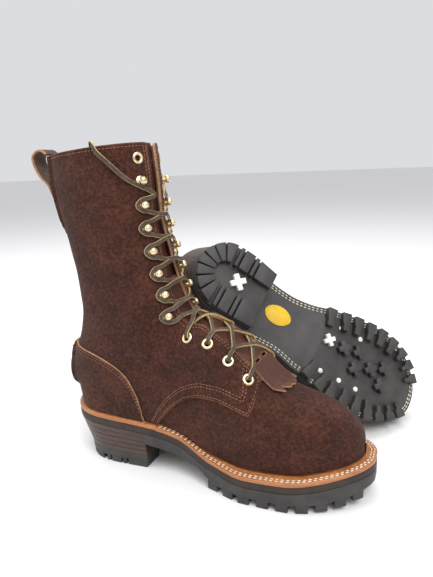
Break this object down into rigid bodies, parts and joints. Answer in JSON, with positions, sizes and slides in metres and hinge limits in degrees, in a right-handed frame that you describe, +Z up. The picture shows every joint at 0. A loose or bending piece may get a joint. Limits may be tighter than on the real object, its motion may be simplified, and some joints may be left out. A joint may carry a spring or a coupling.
{
  "type": "fire boots",
  "caption": "Pair of tall lace-up logger-style fire boots with lug soles, raised heels, fringed kilties, hook lacing and rear pull loops; one stands, one leans behind it.",
  "frame": {"origin": "middle of the footprint of the pair, on the floor", "axes": "+X towards the toe of the standing right boot, +Y towards its medial side and the leaning left boot, +Z up"},
  "size_m": [0.4458, 0.339, 0.3157],
  "materials": {
    "rough": "rough-out, oiled",
    "smooth": "smooth, satin",
    "lining": "matte",
    "rand": "waxed edge",
    "stack": "dyed stacked leather, satin",
    "insole": "matte",
    "rubber": "moulded, matte",
    "slip": "smooth, matte",
    "brass": "satin",
    "lace": "oiled, cut edges pale",
    "steel": "brushed",
    "ochre": "moulded, satin",
    "pale": "moulded, matte",
    "cork": "granulated, matte"
  },
  "bodies": {
    "right_boot": {"right_vamp": "rough", "right_quarter_lateral": "rough", "right_quarter_medial": "rough", "right_counter_cover": "rough", "right_heel_stiffener": "lining", "right_toe_puff": "lining", "right_tongue": "smooth", "right_kiltie": "smooth", "right_back_strip": "rough", "right_insole": "insole", "right_bottom_filler": "cork", "right_shank": "steel", "right_midsole": "rand", "right_heel_rand": "rand", "right_slip_sole": "slip", "right_outsole": "rubber", "right_sole_inlay": "ochre", "right_sole_cross": "pale", "right_heel_stack": "stack", "right_heel_cap": "rubber", "right_eyelets_lateral": "brass", "right_eyelets_medial": "brass", "right_top_eyelet_lateral": "brass", "right_top_eyelet_medial": "brass", "right_hooks_lateral": "brass", "right_hooks_medial": "brass", "right_lace": "lace"},
    "right_loop": {"right_pull_loop": "smooth"},
    "right_flap": {"right_kiltie_flap": "smooth"},
    "left_boot": {"left_vamp": "rough", "left_quarter_lateral": "rough", "left_quarter_medial": "rough", "left_counter_cover": "rough", "left_heel_stiffener": "lining", "left_toe_puff": "lining", "left_tongue": "smooth", "left_kiltie": "smooth", "left_back_strip": "rough", "left_insole": "insole", "left_bottom_filler": "cork", "left_shank": "steel", "left_midsole": "rand", "left_heel_rand": "rand", "left_slip_sole": "slip", "left_outsole": "rubber", "left_sole_inlay": "ochre", "left_sole_cross": "pale", "left_heel_stack": "stack", "left_heel_cap": "rubber", "left_eyelets_lateral": "brass", "left_eyelets_medial": "brass", "left_top_eyelet_lateral": "brass", "left_top_eyelet_medial": "brass", "left_hooks_lateral": "brass", "left_hooks_medial": "brass", "left_lace": "lace"},
    "left_loop": {"left_pull_loop": "smooth"},
    "left_flap": {"left_kiltie_flap": "smooth"}
  },
  "joints": [
    {"name": "left_boot_lift", "type": "slide", "parent": "right_boot", "child": "left_boot", "axis": [0, 0, 1], "range_m": [0, 0.25]},
    {"name": "right_loop_swing", "type": "hinge", "parent": "right_boot", "child": "right_loop", "pos_m": [-0.1189, -0.1125, 0.285], "axis": [0, 0, 1], "range_deg": [-15, 15], "stiffness_Nm_per_rad": 0.02},
    {"name": "right_flap_lift", "type": "hinge", "parent": "right_boot", "child": "right_flap", "pos_m": [0.0999, -0.1125, 0.1053], "axis": [0, -1, 0], "range_deg": [0, 35], "stiffness_Nm_per_rad": 0.02},
    {"name": "left_loop_swing", "type": "hinge", "parent": "left_boot", "child": "left_loop", "pos_m": [-0.1875, 0.0958, 0.0885], "axis": [0.6592, -0.611, 0.4384], "range_deg": [-15, 15], "stiffness_Nm_per_rad": 0.02},
    {"name": "left_flap_lift", "type": "hinge", "parent": "left_boot", "child": "left_flap", "pos_m": [0.0891, 0.0635, 0.0375], "axis": [0.2073, 0.7081, 0.675], "range_deg": [0, 35], "stiffness_Nm_per_rad": 0.02}
  ]
}
